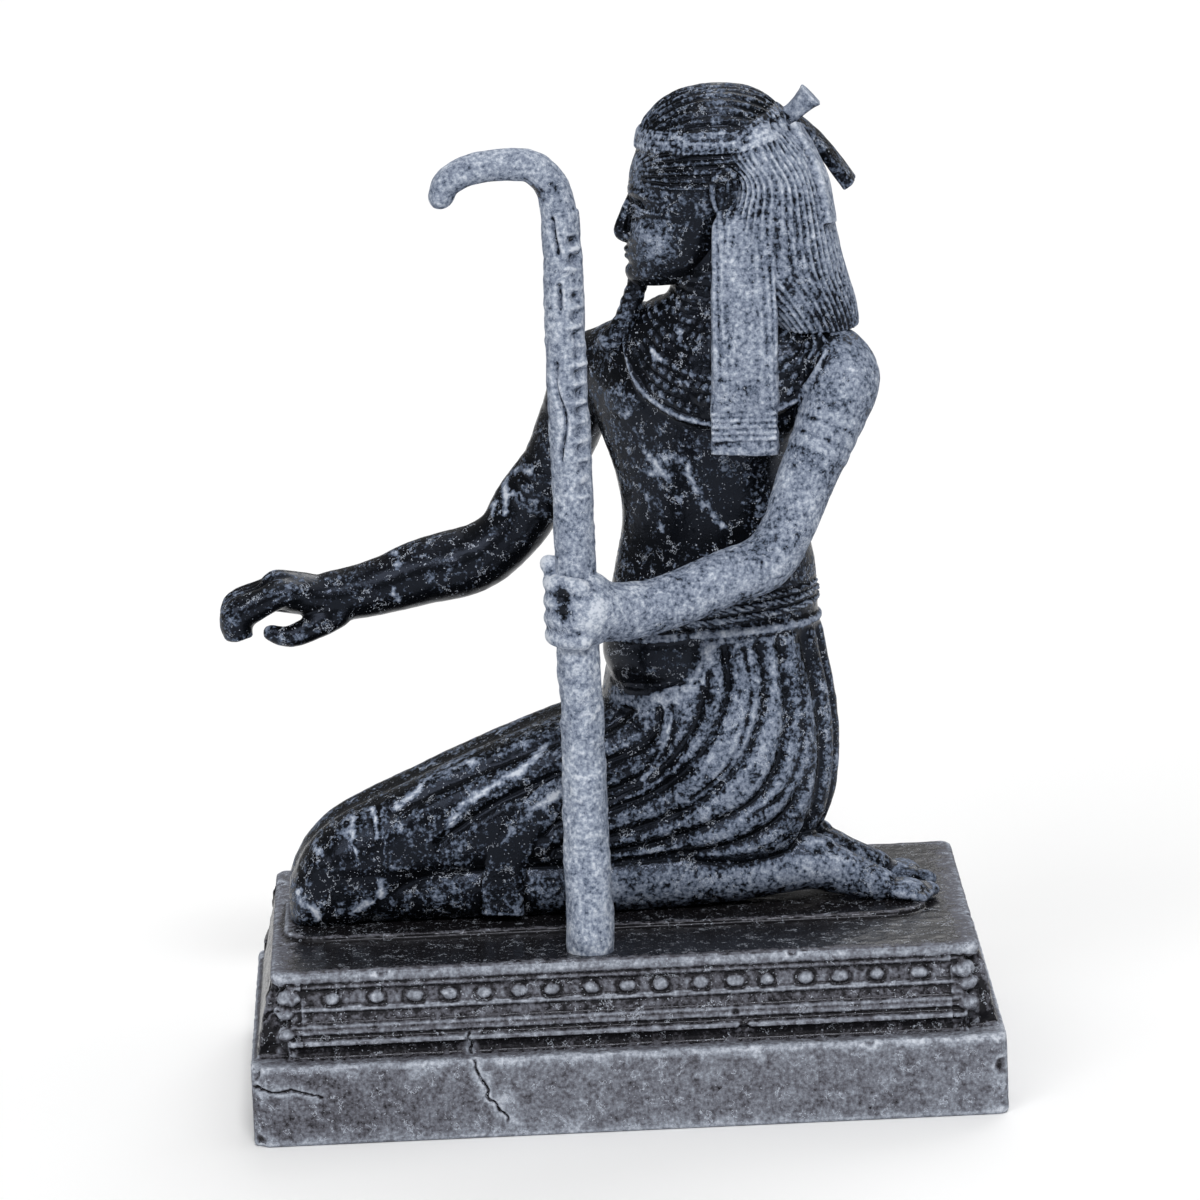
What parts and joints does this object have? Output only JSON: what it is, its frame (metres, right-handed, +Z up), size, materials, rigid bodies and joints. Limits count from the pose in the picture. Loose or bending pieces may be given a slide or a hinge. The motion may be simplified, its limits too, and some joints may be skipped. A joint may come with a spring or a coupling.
{
  "type": "egyptian god figurine",
  "caption": "One-piece cast figurine of a kneeling Egyptian god holding a tall notched staff, on a moulded rectangular plinth.",
  "frame": {"origin": "middle of the plinth's flat underside", "axes": "+Z up, +X towards the figure's back and toes (the figure looks along -X), -Y towards the figure's left side, where the staff stands"},
  "size_m": [0.0972, 0.06, 0.1278],
  "materials": {
    "chalked_black_resin": "black stone-powder resin with a soft gloss, rubbed over with a blue-grey chalky paint that stays on the raised parts"
  },
  "bodies": {
    "root": {"kneeling_god_casting": "chalked_black_resin"}
  },
  "joints": []
}
